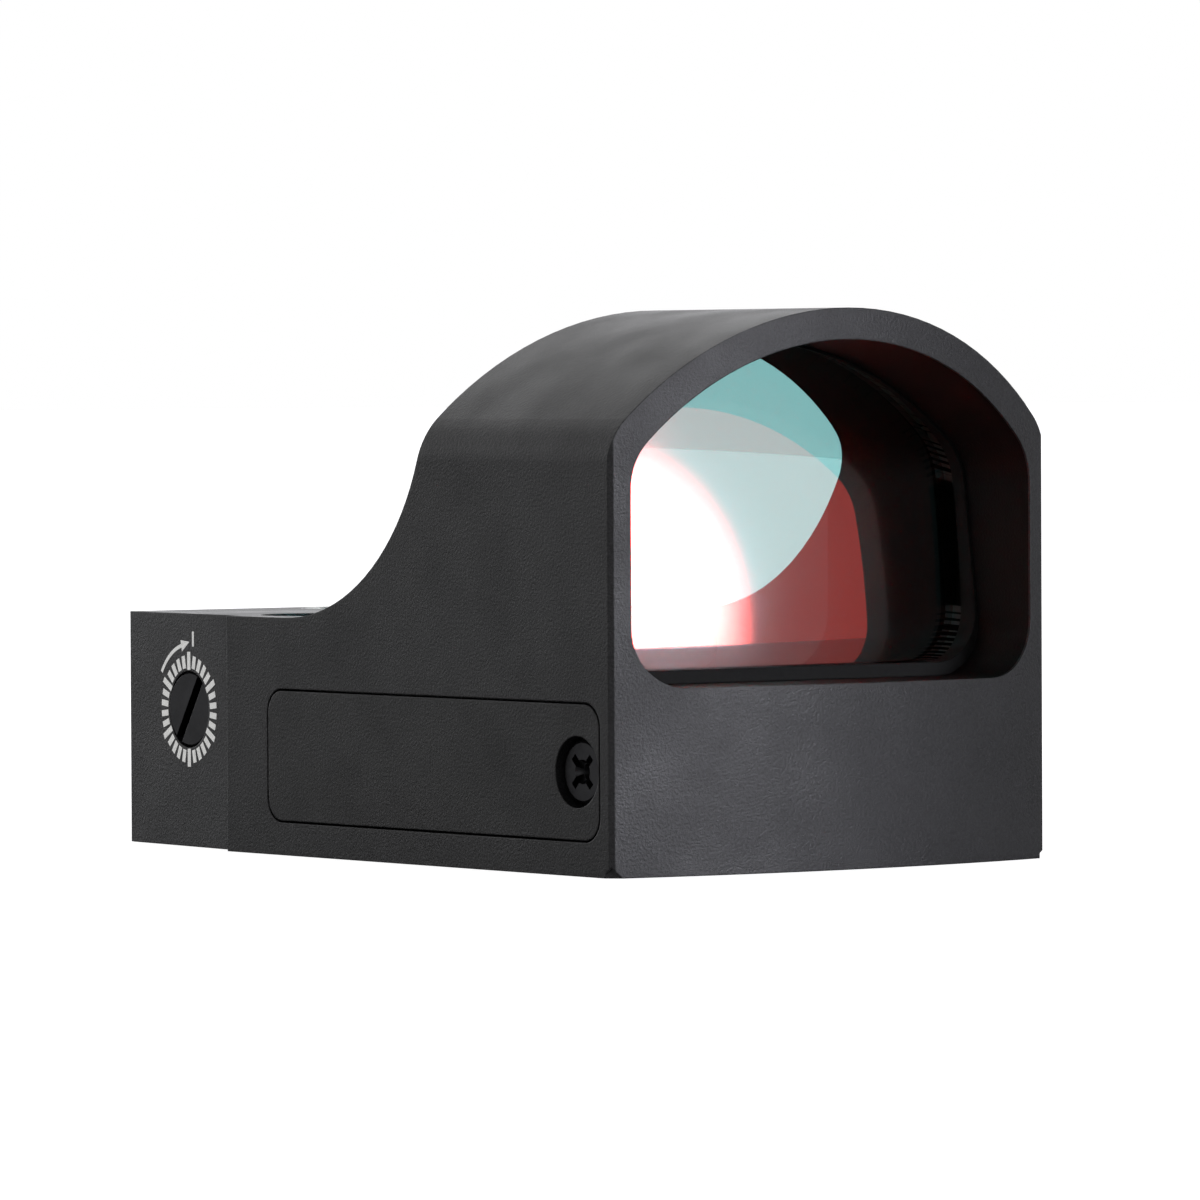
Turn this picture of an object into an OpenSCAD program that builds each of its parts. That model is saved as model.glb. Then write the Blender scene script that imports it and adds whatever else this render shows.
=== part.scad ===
// Open reflex sight (red dot finder): a one-piece alloy housing with an arched hood that
// holds a coated lens, a side drawer for a coin cell, two adjusters for the red dot, and
// the small moving emitter stage that they push.
// Frame: origin at the centre of the underside, +Z up, the lens looks along -Y, the eye is
// at +Y, and the battery door and the windage dial are on the -X side.

/* [Body] */
// Overall width
body_w = 28; // [27.8:0.1:28.6]
// Length of the straight sides
body_l = 45; // [44.8:0.1:46]
// How far the front bulges forward at its middle
front_bow = 1.6; // [1:0.1:2]
// Height of the hood's ridge above the underside
body_h = 28.3; // [28.2:0.1:29]
// Height of the flat rear deck
deck_h = 12.4; // [12.4:0.1:12.8]
// Depth of the hood where its back meets the cove
hood_depth = 15.8; // [15:0.1:16.5]
// Forward lean of the hood's back
hood_lean = 12; // [6:1:14]
// Radius of the cove between the hood and the deck
cove_r = 12.6; // [11.5:0.1:12.8]
// Radius of the hood's main arch
arch_r = 18.4; // [18:0.1:20]
// Radius where the arch meets the upright sides
shoulder_r = 3; // [1.5:0.1:3.4]
// Chamfer on the upright front edges
edge_break = 0.2; // [0.1:0.05:0.3]
// Inward step where the narrower rear part begins
rear_step = 0.84; // [0.6:0.02:0.9]
// Further inset of the rear part's sides at its far end
rear_taper = 0.8; // [0.4:0.05:0.9]

/* [Window] */
// Thickness of the rim at each side of the window
side_rim = 1.14; // [1:0.02:1.4]
// Thickness of the rim at the ridge
top_rim = 1.6; // [1.4:0.1:2]
// Height of the sill above the underside
sill_h = 9.4; // [9.3:0.1:9.6]
// Radius of the window's arch
window_arc_r = 16.6; // [16:0.1:17]
// Radius at the window's upper corners
window_shoulder_r = 3.4; // [3:0.1:4.2]
// Radius at the window's lower corners
window_foot_r = 2.95; // [2:0.05:3.2]

/* [Lens] */
// Tilt of the lens, top leaning back
lens_tilt = 7.7; // [7:0.1:8.5]
// Radius of the coated surface between the two glasses
mirror_r = 62; // [58:1:66]
// Distance of the coated surface's middle behind the front face
mirror_depth = 6; // [5.5:0.1:6.5]
// Height of the lens's middle above the underside
lens_mid_h = 18.4; // [18:0.1:19]
// Thickness of the front glass
front_glass_t = 1.6; // [1.3:0.1:1.8]
// Thickness of the rear glass
rear_glass_t = 2.2; // [1.8:0.1:2.4]

/* [Battery drawer] */
// Coin cell diameter
cell_d = 20; // [19.6:0.1:20]
// Coin cell thickness
cell_t = 3.2; // [3:0.1:3.2]
// Height of the battery door
door_h = 7; // [6.8:0.1:7]
// Gap around the door
door_gap = 0.12; // [0.06:0.02:0.16]
// Distance of the door's front edge behind the front face
door_front = 0.87; // [0.8:0.01:1]
// Distance of the door's rear edge behind the front face
door_rear = 29.8; // [29.6:0.1:29.9]

/* [Adjusters] */
// Radius of an adjuster's head
adjuster_r = 2.0; // [1.9:0.02:2]
// Width of an adjuster's slot
slot_w = 0.6; // [0.4:0.05:0.7]
// Lean of the windage slot from upright
slot_lean = 32; // [0:1:45]
// Radial gap between an adjuster and its bore
running_gap = 0.05; // [0.03:0.01:0.08]

/* [Mounting] */
// Radius of each mounting hole
mount_hole_r = 1.6; // [1.5:0.05:1.7]
// Distance between the two mounting holes
mount_pitch = 18.8; // [18.6:0.1:18.9]
// Radius of the counterbore for a mounting screw's head
mount_head_r = 2.85; // [2.7:0.05:2.9]

/* [Hidden] */
$fn = 96;
FRONT = -body_l / 2;
REAR = body_l / 2;
HALF_W = body_w / 2;
BOW_R = (HALF_W * HALF_W + front_bow * front_bow) / (2 * front_bow);
COVE_Y = FRONT + hood_depth + cove_r * cos(hood_lean);
COVE_Z = deck_h + cove_r;
STEP_Y = FRONT + 33.5;

WINDOW_HALF = HALF_W - side_rim;
WINDOW_TOP = body_h - top_rim;
RAMP_Y = COVE_Y - 3.5;
GLASS_GAP = 0.15;
GLASS_LIP = 0.7;
CEMENT_T = 0.02;
MIRROR_Y = FRONT + mirror_depth;
MERIDIAN = 240;

// Underside: the cover sits in a rebate, a gasket and the circuit board lie above it
COVER_Z = [0.1, 1.1];
GASKET_Z = [1.1, 1.3];
BOARD_Z = [1.35, 1.95];
LEDGE_Z = 2;
NECK_HALF = 7.3;
NECK_Y = [5.8, 14.6];
COVER_FRONT_HALF = 11.5;
COVER_REAR_HALF = 10.3;
COVER_Y = [FRONT + 1.5, 21.8];
POCKET_HALF = 6.5;
BOARD_HALF = 10.4;
POCKET_FRONT_Y = FRONT + 5.1;
BATTERY_END_Y = 5.7;
STAGE_Y = [12.8, 20.9];
STAGE_TOP = 9.2;
LED_POCKET_TOP = 11.2;
COVER_SCREWS = [[-9.5, FRONT + 3.1], [9.5, FRONT + 3.1], [-8.6, 17.8], [8.6, 17.8]];
COVER_SCREW_R = 0.75;

// Battery drawer: door in its recess, tray behind it, cell lying flat in the tray
DOOR_Y = [FRONT + door_front, FRONT + door_rear];
DOOR_Z = [1.7, 1.7 + door_h];
DOOR_CORNER = 1.3;
DOOR_T = 1.2;
RECESS_T = 1.5;
CELL_X = -2;
CELL_Y = -5.5;
CELL_Z = 3.05;
CELL_FIT = 0.1;
TRAY_X = [-HALF_W + DOOR_T, 8.7];
TRAY_HALF = 11;
TRAY_Z = [2.3, 6.2];
CAVITY_X = 9;
CAVITY_Z = [1.9, 7.6];
CONTACT_W = 4.6;
LEAF_T = 0.15;
DOOR_SCREW = [FRONT + 2.8, 5.2];
DOOR_HEAD_R = 1.65;
DOOR_SEAT = 0.9;
DOOR_HEAD_SUNK = 0.35;

// Adjusters: head, o-ring groove, click collar, then the shank
WINDAGE_YZ = [16.3, 7.3];
SIDE_AT_DIAL = HALF_W - rear_step
    - rear_taper * (WINDAGE_YZ[0] - STEP_Y) / (REAR - STEP_Y);
WINDAGE_X = -SIDE_AT_DIAL + 0.04;
ELEVATION_Y = 18.8;
ELEVATION_Z = deck_h - 0.05;
HEAD_T = 1.2;
GROOVE_T = 0.7;
COLLAR_T = 1.0;
HEAD_L = HEAD_T + GROOVE_T + COLLAR_T;
BORE_L = HEAD_L + 0.05;
GROOVE_R = 1.4;
SHANK_R = 0.9;
CLIP_T = 0.28;
CLIP_GROOVE_R = 0.6;
WINDAGE_CLIP_L = -POCKET_HALF - WINDAGE_X + 0.1;
WINDAGE_L = -3.7 - WINDAGE_X;
BOSS_Z = 7.9;
BOSS_R = 2.6;
ELEVATION_CLIP_L = ELEVATION_Z - BOSS_Z + 0.1;
ELEVATION_L = ELEVATION_Z - 4.6;

// Emitter stage: a carriage slides along X on two pins, and a block slides up and down in it
LED_YZ = [13.75, 10.1];
CARRIAGE_X = 5;
CARRIAGE_IN = 3.3;
CARRIAGE_Y = [14.3, 20.4];
CARRIAGE_Z = [2.4, 3.9, 8.9];
GUIDE_Y = [15.2, 19.8];
GUIDE_Z = 3.15;
GUIDE_R = 0.5;
BLOCK_X = 3.2;
BLOCK_Y = [13.9, 15.9, 20.5];
BLOCK_Z = [4.4, 7.0, 10.75];
NUT_HALF = 1.4;
NUT_Z = [4.9, 6.5];
TRAVEL = 0.35;
LIFT_SPRING = [0, 15.1, CARRIAGE_Z[1]];
LIFT_SPRING_TOP = 6.3;
SIDE_SPRING_Z = 6.4;
SIDE_SPRING_END = 8.9;

// Brightness buttons on the +X side
BUTTON_Y = [-10.5, -2.5];
BUTTON_Z = 5.2;
BUTTON_R = 2.6;
BUTTON_FLANGE_R = 3.2;
BUTTON_GAP = 0.08;
BUTTON_RECESS = 0.5;
SWITCH_X = [9.85, 10.25, 10.95, 11.45, 12];
SWITCH_WELL_R = 0.8;
PLUNGER_R = 0.72;

// ---- shared shapes ----

// A box from its lowest to its highest corner
module block(low, high) {
    translate(low) cube(high - low);
}

// Extrudes an outline drawn in X and Z along Y
module along_y(y0, y1) {
    translate([0, y1, 0]) rotate([90, 0, 0]) linear_extrude(y1 - y0) children();
}

// Extrudes an outline drawn in Y and Z along X
module along_x(x0, x1) {
    translate([x0, 0, 0]) rotate([90, 0, 90]) linear_extrude(x1 - x0) children();
}

module rounded_rect(low, high, r) {
    translate([low[0] + r, low[1]]) square([high[0] - low[0] - 2 * r, high[1] - low[1]]);
    translate([low[0], low[1] + r]) square([high[0] - low[0], high[1] - low[1] - 2 * r]);
    for (x = [low[0] + r, high[0] - r], y = [low[1] + r, high[1] - r])
        translate([x, y]) circle(r);
}

// A round bar along Y
module bar_y(r, y0, y1) {
    translate([0, y0, 0]) rotate([-90, 0, 0]) cylinder(r = r, h = y1 - y0);
}

// What lies outside a round corner of an arched prism, between the two faces it joins.
// The corner's centre is at (x, z).
module corner_waste(x, z, r, points, y0, y1) {
    for (side = [0, 1]) mirror([side, 0, 0]) difference() {
        along_y(y0 - 1, y1 + 1) polygon(points);
        translate([x, 0, z]) bar_y(r, y0 - 2, y1 + 2);
    }
}

// An arched prism along Y: upright sides, a main arc, and round shoulders that are tangent to
// both. foot rounds the lower corners.
module arched_prism(half, z0, top, arc, shoulder, foot, y0, y1) {
    arc_z = top - arc;
    shoulder_x = half - shoulder;
    shoulder_z = arc_z + sqrt(pow(arc - shoulder, 2) - pow(shoulder_x, 2));
    slope = (shoulder_z - arc_z) / shoulder_x;
    foot_x = half - foot;
    foot_z = z0 + foot;
    difference() {
        intersection() {
            block([-half, y0, z0], [half, y1, top + 1]);
            translate([0, 0, arc_z]) bar_y(arc, y0 - 1, y1 + 1);
        }
        corner_waste(shoulder_x, shoulder_z, shoulder, [
            [shoulder_x, shoulder_z], [half + 1, shoulder_z],
            [half + 1, shoulder_z + slope * (shoulder + 1)]
        ], y0, y1);
        if (foot > 0) corner_waste(foot_x, foot_z, foot, [
            [foot_x, foot_z], [foot_x, z0 - 1], [half + 1, z0 - 1], [half + 1, foot_z]
        ], y0, y1);
    }
}

// The window's tunnel, smaller by gap at the sides and ridge, and by lip at the sill
module window_prism(gap, lip, y0, y1) {
    arched_prism(WINDOW_HALF - gap, sill_h + lip, WINDOW_TOP - gap, window_arc_r - gap,
        window_shoulder_r - gap, window_foot_r - gap, y0, y1);
}

// A wire coil along Z from z = 0 to z = length, with closed ends
module coil(r, wire, length, turns) {
    sides = 8;
    per_turn = 20;
    steps = turns * per_turn;
    height = length - 2 * wire;
    points = [for (i = [0:steps], k = [0:sides - 1])
        let (a = 360 * i / per_turn, b = 360 * k / sides, ring = r + wire * cos(b))
        [ring * cos(a), ring * sin(a), wire + height * i / steps + wire * sin(b)]];
    walls = [for (i = [0:steps - 1], k = [0:sides - 1])
        let (n = (k + 1) % sides, a = i * sides)
        [a + k, a + n, a + sides + n, a + sides + k]];
    ends = [[for (k = [0:sides - 1]) sides - 1 - k], [for (k = [0:sides - 1]) steps * sides + k]];
    polyhedron(points, concat(walls, ends), convexity = 8);
}

// A slotted adjuster along +Z, its head's face at z = 0
module adjuster(length, clip_l) {
    collar_z = HEAD_T + GROOVE_T;
    difference() {
        rotate_extrude() polygon([
            [0, 0], [adjuster_r - 0.12, 0], [adjuster_r, 0.12], [adjuster_r, HEAD_T],
            [GROOVE_R, HEAD_T], [GROOVE_R, collar_z], [adjuster_r, collar_z],
            [adjuster_r, HEAD_L], [SHANK_R, HEAD_L], [SHANK_R, clip_l],
            [CLIP_GROOVE_R, clip_l], [CLIP_GROOVE_R, clip_l + 0.3], [SHANK_R, clip_l + 0.3],
            [SHANK_R, length], [0, length]
        ]);
        translate([-slot_w / 2, -adjuster_r - 1, -1]) cube([slot_w, 2 * adjuster_r + 2, 1.6]);
        translate([0.5, 0, collar_z + COLLAR_T / 2]) rotate([0, 90, 0]) cylinder(r = 0.42, h = 3);
    }
}

module adjuster_ball() {
    ball_r = 0.38;
    translate([adjuster_r - ball_r, 0, HEAD_T + GROOVE_T + COLLAR_T / 2]) sphere(ball_r);
}

module adjuster_ball_spring() {
    translate([0.52, 0, HEAD_T + GROOVE_T + COLLAR_T / 2]) rotate([0, 90, 0])
        coil(0.28, 0.06, 0.68, 4);
}

module adjuster_o_ring() {
    translate([0, 0, HEAD_T + GROOVE_T / 2]) rotate_extrude() translate([1.72, 0]) circle(0.3);
}

module adjuster_clip(clip_l) {
    translate([0, 0, clip_l + 0.01]) difference() {
        cylinder(r = 1.5, h = CLIP_T);
        translate([0, 0, -1]) cylinder(r = CLIP_GROOVE_R + 0.02, h = 3);
        translate([0, -CLIP_GROOVE_R + 0.1, -1]) cube([3, 2 * CLIP_GROOVE_R - 0.2, 3]);
    }
}

// The bore that an adjuster turns in, from outside its head down to past its wall
module adjuster_bore(through) {
    translate([0, 0, -2]) cylinder(r = adjuster_r + running_gap, h = BORE_L + 2);
    cylinder(r = SHANK_R + running_gap, h = through);
}

// Places an adjuster's own axis on the windage or the elevation axis
module at_windage() {
    translate([WINDAGE_X, WINDAGE_YZ[0], WINDAGE_YZ[1]]) rotate([0, 90, 0]) children();
}

module at_elevation() {
    translate([0, ELEVATION_Y, ELEVATION_Z]) rotate([180, 0, 0]) children();
}

// ---- housing ----

// What is cut away above the deck, behind the hood's leaning back. Its corner lies just inside
// the cove's bar, so that the two surfaces cross cleanly.
module behind_hood() {
    reach = cove_r - 0.01;
    back_y = COVE_Y - reach * cos(hood_lean);
    back_z = COVE_Z - reach * sin(hood_lean);
    back_h = body_h + 1 - back_z;
    along_x(-body_w, body_w) polygon([
        [REAR + 1, deck_h], [COVE_Y, deck_h], [COVE_Y, COVE_Z], [back_y, back_z],
        [back_y - back_h * tan(hood_lean), body_h + 1], [REAR + 1, body_h + 1]
    ]);
}

module cove_bar() {
    translate([-body_w, COVE_Y, COVE_Z]) rotate([0, 90, 0]) cylinder(r = cove_r, h = 2 * body_w);
}

// The view from above: a bulging front whose upright edges are broken
module plan_outline() {
    break_y = FRONT + edge_break;
    intersection() {
        translate([0, FRONT - front_bow + BOW_R]) circle(BOW_R, $fn = MERIDIAN);
        polygon([
            [-HALF_W - 1, REAR + 1], [-HALF_W - 1, break_y + 1.2], [-HALF_W + 4, break_y - 4.8],
            [HALF_W - 4, break_y - 4.8], [HALF_W + 1, break_y + 1.2], [HALF_W + 1, REAR + 1]
        ]);
    }
}

module outer_form() {
    difference() {
        intersection() {
            arched_prism(HALF_W, 0, body_h, arch_r, shoulder_r, 0, FRONT - 3, REAR);
            translate([0, 0, -1]) linear_extrude(body_h + 2) plan_outline();
        }
        behind_hood();
        cove_bar();
        for (side = [-1, 1]) {
            translate([0, 0, -1]) linear_extrude(deck_h + 2) polygon([
                [side * (HALF_W - rear_step), STEP_Y], [side * (HALF_W + 1), STEP_Y],
                [side * (HALF_W + 1), REAR], [side * (HALF_W - rear_step - rear_taper), REAR]
            ]);
            // small corner cuts at the foot of the front edges
            translate([side * HALF_W, FRONT, 0]) rotate([0, 0, 45])
                rotate([45, 0, 0]) cube(0.75, center = true);
        }
    }
}

// The clear way through the hood, whose floor rises in a ramp to the deck
module sight_channel() {
    difference() {
        window_prism(0, 0, FRONT - front_bow - 1, COVE_Y + 1);
        along_x(-body_w, body_w)
            polygon([[RAMP_Y, 0], [RAMP_Y, sill_h], [COVE_Y, deck_h], [COVE_Y + 9, deck_h],
                [COVE_Y + 9, 0]]);
    }
    // trough in front of the emitter
    translate([0, 0, sill_h]) linear_extrude(deck_h) polygon([
        [-3.4, 12.2], [-3.4, 9], [-6.5, RAMP_Y], [6.5, RAMP_Y], [3.4, 9], [3.4, 12.2]
    ]);
}

// The cover's outline: wide at the front, a neck between the mounting holes, wide at the rear
module cover_outline(inset) {
    rounded_rect([-COVER_FRONT_HALF + inset, COVER_Y[0] + inset],
        [COVER_FRONT_HALF - inset, NECK_Y[0] - inset], 1);
    rounded_rect([-NECK_HALF + inset, NECK_Y[0] - 3], [NECK_HALF - inset, NECK_Y[1] + 3], 1);
    rounded_rect([-COVER_REAR_HALF + inset, NECK_Y[1] + inset],
        [COVER_REAR_HALF - inset, COVER_Y[1] - inset], 1);
}

// The pocket for the circuit board
module board_outline(inset) {
    rounded_rect([-BOARD_HALF + inset, POCKET_FRONT_Y + inset],
        [BOARD_HALF - inset, 4.9 - inset], 0.8);
    rounded_rect([-POCKET_HALF + inset, 3], [POCKET_HALF - inset, STAGE_Y[1] - inset], 0.8);
}

module battery_cavity() {
    along_x(-HALF_W - 1, -HALF_W + RECESS_T)
        rounded_rect([DOOR_Y[0], DOOR_Z[0]], [DOOR_Y[1], DOOR_Z[1]], DOOR_CORNER);
    block([-HALF_W, CELL_Y - TRAY_HALF - 0.2, 2.1], [-10.9, CELL_Y + TRAY_HALF + 0.2, 7.2]);
    block([-11, CELL_Y - TRAY_HALF - 0.2, CAVITY_Z[0]],
        [CAVITY_X, CELL_Y + TRAY_HALF + 0.2, CAVITY_Z[1]]);
    translate([-HALF_W, DOOR_SCREW[0], DOOR_SCREW[1]]) rotate([0, 90, 0])
        cylinder(r = 1.02, h = 5.9);
}

module stage_cavity() {
    difference() {
        block([-POCKET_HALF, STAGE_Y[0], 1.5], [POCKET_HALF, STAGE_Y[1], STAGE_TOP]);
        translate([0, ELEVATION_Y, BOSS_Z]) cylinder(r = BOSS_R, h = 4);
    }
    block([-4.2, STAGE_Y[0], 5], [4.2, 16.1, LED_POCKET_TOP]);
    block([-2.6, 12, sill_h], [2.6, 13, LED_POCKET_TOP]);
    // neck pocket for the taller components
    block([-POCKET_HALF, BATTERY_END_Y + 1, 1.5], [POCKET_HALF, 13, 7]);
    // seats for the guide pins, open below
    for (y = GUIDE_Y) {
        translate([-7.5, y, GUIDE_Z]) rotate([0, 90, 0]) cylinder(r = GUIDE_R + 0.01, h = 15);
        block([-7.5, y - GUIDE_R - 0.01, 1], [7.5, y + GUIDE_R + 0.01, GUIDE_Z]);
    }
    translate([5, WINDAGE_YZ[0], SIDE_SPRING_Z]) rotate([0, 90, 0])
        cylinder(r = 1.15, h = SIDE_SPRING_END - 5);
}

module button_cavity() {
    block([SWITCH_X[0], BUTTON_Y[0] - 3.5, 1.2], [SWITCH_X[4], BUTTON_Y[1] + 3.5, 8.5]);
    along_x(HALF_W - BUTTON_RECESS, HALF_W + 1) {
        for (y = BUTTON_Y) translate([y, BUTTON_Z]) circle(3.5);
        translate([BUTTON_Y[0], BUTTON_Z - 3.5]) square([BUTTON_Y[1] - BUTTON_Y[0], 7]);
    }
    for (y = BUTTON_Y) translate([SWITCH_X[4] - 0.5, y, BUTTON_Z]) rotate([0, 90, 0])
        cylinder(r = BUTTON_R + BUTTON_GAP, h = 5);
}

module mounting_holes() {
    for (side = [-1, 1]) translate([side * mount_pitch / 2, 9.5, 0]) {
        translate([0, 0, -1]) cylinder(r = mount_hole_r, h = deck_h + 2);
        translate([0, 0, deck_h - 3.5]) cylinder(r = mount_head_r, h = 5);
    }
}

module housing() {
    color([0.13, 0.13, 0.14]) difference() {
        outer_form();
        sight_channel();
        translate([0, 0, -1]) linear_extrude(1 + GASKET_Z[1]) cover_outline(0);
        translate([0, 0, -1]) linear_extrude(1 + LEDGE_Z) board_outline(0);
        battery_cavity();
        stage_cavity();
        button_cavity();
        mounting_holes();
        at_windage() adjuster_bore(8);
        at_elevation() adjuster_bore(6);
        for (p = COVER_SCREWS) translate([p[0], p[1], 0])
            cylinder(r = COVER_SCREW_R + 0.03, h = 3.6);
    }
}

// ---- lens ----

// A glass with two spherical faces on the lens's tilted axis, front at -Y, trimmed to the
// window's outline
module lens_glass(front_y, front_r, rear_y, rear_r) {
    half = WINDOW_HALF - GLASS_GAP;
    low = sill_h + GLASS_LIP;
    foot = window_foot_r - GLASS_GAP;
    arc = window_arc_r - GLASS_GAP;
    shoulder = window_shoulder_r - GLASS_GAP;
    arc_z = WINDOW_TOP - window_arc_r;
    shoulder_x = half - shoulder;
    shoulder_z = arc_z + sqrt(pow(arc - shoulder, 2) - pow(shoulder_x, 2));
    slope = (shoulder_z - arc_z) / shoulder_x;
    y0 = FRONT - 2;
    y1 = FRONT + 16;
    difference() {
        intersection() {
            translate([0, MIRROR_Y, lens_mid_h]) rotate([-90 - lens_tilt, 0, 0])
                lens_blank(front_y, front_r, rear_y, rear_r);
            block([-half, y0, low], [half, y1, body_h]);
            translate([0, 0, arc_z]) bar_y(arc, y0, y1);
        }
        corner_waste(half - foot, low + foot, foot, [
            [half - foot, low + foot], [half - foot, low - 1], [half + 1, low - 1],
            [half + 1, low + foot]
        ], y0, y1);
        corner_waste(shoulder_x, shoulder_z, shoulder, [
            [shoulder_x, shoulder_z], [half + 1, shoulder_z],
            [half + 1, shoulder_z + slope * (shoulder + 1)]
        ], y0, y1);
    }
}

// A round blank between two spheres, its axis along Z
module lens_blank(front_z, front_r, rear_z, rear_r) {
    rotate_extrude() difference() {
        intersection() {
            translate([0, front_z + front_r]) circle(front_r, $fn = MERIDIAN);
            translate([0, front_z - 1]) square([17, 10]);
        }
        translate([0, rear_z + rear_r]) circle(rear_r, $fn = MERIDIAN);
    }
}

module lens_front_glass() {
    color([0.75, 0.85, 0.85, 0.4]) lens_glass(-front_glass_t, mirror_r + 2, 0, mirror_r);
}

module lens_rear_glass() {
    color([0.75, 0.85, 0.85, 0.4])
        lens_glass(CEMENT_T, mirror_r - CEMENT_T, rear_glass_t, mirror_r - 2);
}

// Bonding frame between the glass edges and the hood
module lens_seal() {
    color([0.05, 0.05, 0.05]) intersection() {
        difference() {
            window_prism(0.01, 0.01, FRONT + 0.5, FRONT + 14);
            window_prism(GLASS_GAP, GLASS_LIP, FRONT, FRONT + 15);
        }
        translate([0, MIRROR_Y, lens_mid_h]) rotate([-lens_tilt, 0, 0])
            block([-20, -1.2, -20], [20, 3, 20]);
    }
}

module emitter_window() {
    color([0.8, 0.85, 0.9, 0.4]) block([-3.35, 11.4, sill_h], [3.35, 12.2, deck_h - 0.2]);
}

// ---- underside ----

module base_cover() {
    color([0.16, 0.16, 0.17]) difference() {
        union() {
            translate([0, 0, COVER_Z[0]]) linear_extrude(COVER_Z[1] - COVER_Z[0])
                cover_outline(0.1);
            for (p = [[-9, -15], [9, -15], [-9, 3], [9, 3], [0, 12]])
                translate([p[0], p[1], COVER_Z[0]]) cylinder(r = 0.8, h = BOARD_Z[0] - COVER_Z[0]);
        }
        for (p = COVER_SCREWS) translate([p[0], p[1], COVER_Z[0]]) {
            translate([0, 0, -1]) cylinder(r = COVER_SCREW_R + 0.1, h = 3);
            translate([0, 0, -0.01]) cylinder(r1 = 1.55, r2 = COVER_SCREW_R + 0.1, h = 0.72);
        }
    }
}

module base_gasket() {
    color([0.1, 0.1, 0.1]) translate([0, 0, GASKET_Z[0]])
        linear_extrude(GASKET_Z[1] - GASKET_Z[0]) difference() {
            cover_outline(0.2);
            board_outline(-0.15);
            for (p = COVER_SCREWS) translate(p) circle(1);
        }
}

module base_screws() {
    color([0.2, 0.2, 0.22]) for (p = COVER_SCREWS) translate([p[0], p[1], COVER_Z[0]])
        difference() {
            rotate_extrude() polygon([
                [0, 0], [1.45, 0], [COVER_SCREW_R, 0.7], [COVER_SCREW_R, 3.3], [0, 3.3]
            ]);
            for (turn = [0, 90]) rotate([0, 0, turn]) translate([-0.15, -0.75, -1])
                cube([0.3, 1.5, 1.45]);
        }
}

module circuit_board() {
    color([0.05, 0.25, 0.12]) translate([0, 0, BOARD_Z[0]])
        linear_extrude(BOARD_Z[1] - BOARD_Z[0]) board_outline(0.12);
}

module controller_chip() {
    color([0.08, 0.08, 0.08]) {
        block([-2.2, 7.6, BOARD_Z[1]], [2.2, 12, BOARD_Z[1] + 0.9]);
    }
}

module board_components() {
    top = BOARD_Z[1];
    color([0.6, 0.5, 0.35]) {
        for (x = [-5.2, -3.6], y = [7.4, 9.4, 11.4])
            block([x, y, top], [x + 0.8, y + 1.2, top + 0.6]);
    }
    color([0.3, 0.3, 0.32]) {
        block([3.2, 7.4, top], [5.8, 9.6, top + 1.4]);
        translate([4.5, 11.2, top]) cylinder(r = 0.9, h = 2.4);
    }
}

// ---- battery drawer ----

module battery_door() {
    color([0.11, 0.11, 0.12]) difference() {
        along_x(-HALF_W, -HALF_W + DOOR_T)
            rounded_rect([DOOR_Y[0] + door_gap, DOOR_Z[0] + door_gap],
                [DOOR_Y[1] - door_gap, DOOR_Z[1] - door_gap], DOOR_CORNER - door_gap);
        translate([-HALF_W, DOOR_SCREW[0], DOOR_SCREW[1]]) rotate([0, 90, 0]) {
            translate([0, 0, -1]) cylinder(r = DOOR_HEAD_R + 0.15, h = 1 + DOOR_SEAT);
            cylinder(r = 1.06, h = 3);
        }
    }
}

// A straight part behind the door and a round end about the cell, cut through for both
// contacts
module battery_tray() {
    slot_half = CONTACT_W / 2 + 0.3;
    color([0.07, 0.07, 0.08]) difference() {
        union() {
            block([TRAY_X[0], CELL_Y - TRAY_HALF, TRAY_Z[0]],
                [CELL_X, CELL_Y + TRAY_HALF, TRAY_Z[1]]);
            intersection() {
                translate([CELL_X, CELL_Y, TRAY_Z[0]])
                    cylinder(r = TRAY_HALF, h = TRAY_Z[1] - TRAY_Z[0]);
                block([CELL_X - 1, CELL_Y - TRAY_HALF, 0], [TRAY_X[1], CELL_Y + TRAY_HALF, 9]);
            }
        }
        translate([CELL_X, CELL_Y, CELL_Z - 0.05]) cylinder(r = cell_d / 2 + CELL_FIT, h = 9);
        translate([CELL_X, CELL_Y, 0]) cylinder(r = 7.5, h = 9);
        block([CELL_X, CELL_Y - slot_half, 0], [CAVITY_X + 1, CELL_Y + slot_half, 9]);
    }
}

module door_gasket() {
    color([0.1, 0.1, 0.1]) along_x(-HALF_W + DOOR_T, -HALF_W + RECESS_T - 0.02) difference() {
        rounded_rect([CELL_Y - TRAY_HALF - 0.9, 1.95], [CELL_Y + TRAY_HALF + 0.9, 8.1], 1.2);
        translate([CELL_Y - TRAY_HALF - 0.02, 2.28]) square([2 * TRAY_HALF + 0.04, 4.8]);
    }
}

module door_screw() {
    head_t = DOOR_SEAT - DOOR_HEAD_SUNK - 0.01;
    length = 5.35;
    color([0.1, 0.1, 0.1]) translate([-HALF_W + DOOR_HEAD_SUNK, DOOR_SCREW[0], DOOR_SCREW[1]])
        rotate([0, 90, 0]) difference() {
            rotate_extrude() polygon([
                [0, 0], [DOOR_HEAD_R - 0.2, 0], [DOOR_HEAD_R, 0.14], [DOOR_HEAD_R, head_t],
                [0.98, head_t], [0.98, length - 0.3], [0.7, length], [0, length]
            ]);
            for (turn = [45, 135]) rotate([0, 0, turn]) translate([-0.2, -1.05, -1])
                cube([0.4, 2.1, 1.38]);
            translate([0, 0, -0.01]) cylinder(r1 = 0.62, r2 = 0.15, h = 0.9);
        }
}

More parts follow.
